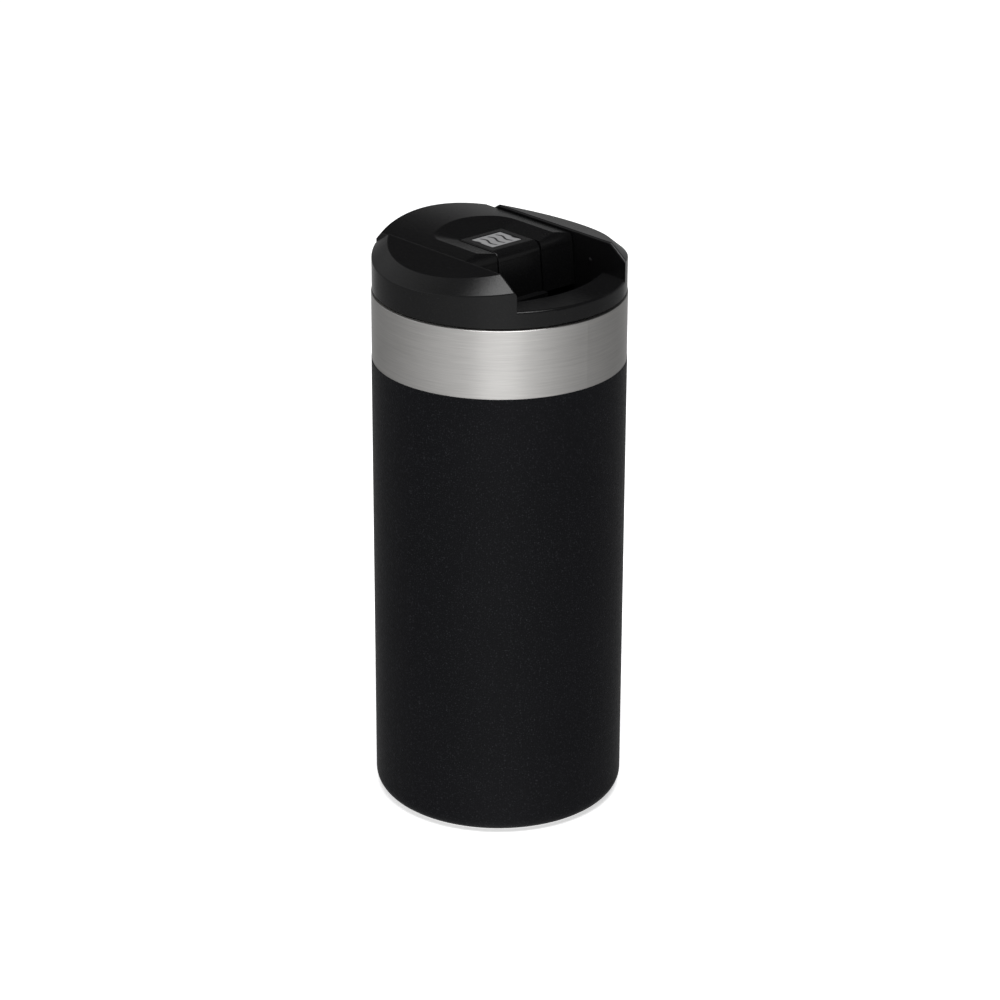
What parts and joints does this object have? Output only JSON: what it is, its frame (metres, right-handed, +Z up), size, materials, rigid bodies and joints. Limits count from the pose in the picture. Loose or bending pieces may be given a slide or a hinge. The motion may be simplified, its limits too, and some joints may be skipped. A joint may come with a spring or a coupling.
{
  "type": "vacuum flask",
  "caption": "Slim double-walled steel vacuum flask with a powder-coated body, bare steel band, screw-in lid and one-touch flip cap over a drinking spout.",
  "frame": {"origin": "centre of the foot ring, on the surface the flask stands on", "axes": "+Z up along the body, +X towards the drinking side, +Y towards the left wing of the lid seen by the drinker"},
  "size_m": [0.073, 0.073, 0.1715],
  "materials": {
    "black_powder_coat": "fine textured satin",
    "brushed_steel": "brushed round the body",
    "drawn_steel": "electropolished",
    "black_plastic": "fine moulded grain",
    "dark_plastic": "satin",
    "gray_silicone": "matte",
    "spring_steel": "bright wire",
    "emblem_silver": "printed silver on black",
    "getter_metal": "sintered"
  },
  "bodies": {
    "vessel": {"outer_shell": "brushed_steel", "powder_coat": "black_powder_coat", "base_cup": "drawn_steel", "base_disc": "gray_silicone", "vacuum_plug": "getter_metal", "inner_shell": "drawn_steel", "getter_tablet": "getter_metal", "getter_clip": "drawn_steel"},
    "gasket": {"plug_gasket": "gray_silicone"},
    "lid": {"lid_housing": "black_plastic", "lid_plug": "dark_plastic", "hinge_pin": "spring_steel", "hinge_spring": "spring_steel"},
    "cap": {"flip_cap": "black_plastic", "cap_liner": "dark_plastic", "spout_stopper": "gray_silicone", "vent_stopper": "gray_silicone", "latch_pin": "spring_steel", "latch_spring": "spring_steel"},
    "button": {"latch_button": "black_plastic", "emblem_plate": "emblem_silver"}
  },
  "joints": [
    {"name": "lid_rise", "type": "slide", "parent": "vessel", "child": "gasket", "axis": [0, 0, 1], "range_m": [0, 0.007]},
    {"name": "lid_turn", "type": "hinge", "parent": "gasket", "child": "lid", "pos_m": [0, 0, 0.1552], "axis": [0, 0, 1], "range_deg": [0, 630.5]},
    {"name": "cap_hinge", "type": "hinge", "parent": "lid", "child": "cap", "pos_m": [-0.0336, 0, 0.1645], "axis": [0, -1, 0], "range_deg": [0, 100]},
    {"name": "button_press", "type": "hinge", "parent": "cap", "child": "button", "pos_m": [0.001, 0, 0.1635], "axis": [0, 1, 0], "range_deg": [0, 6], "stiffness_Nm_per_rad": 0.4, "springref_deg": -1.15}
  ],
  "couplings": [
    {"joint": "lid_turn", "follows": "lid_rise", "rad_per_m": 1570.8}
  ]
}
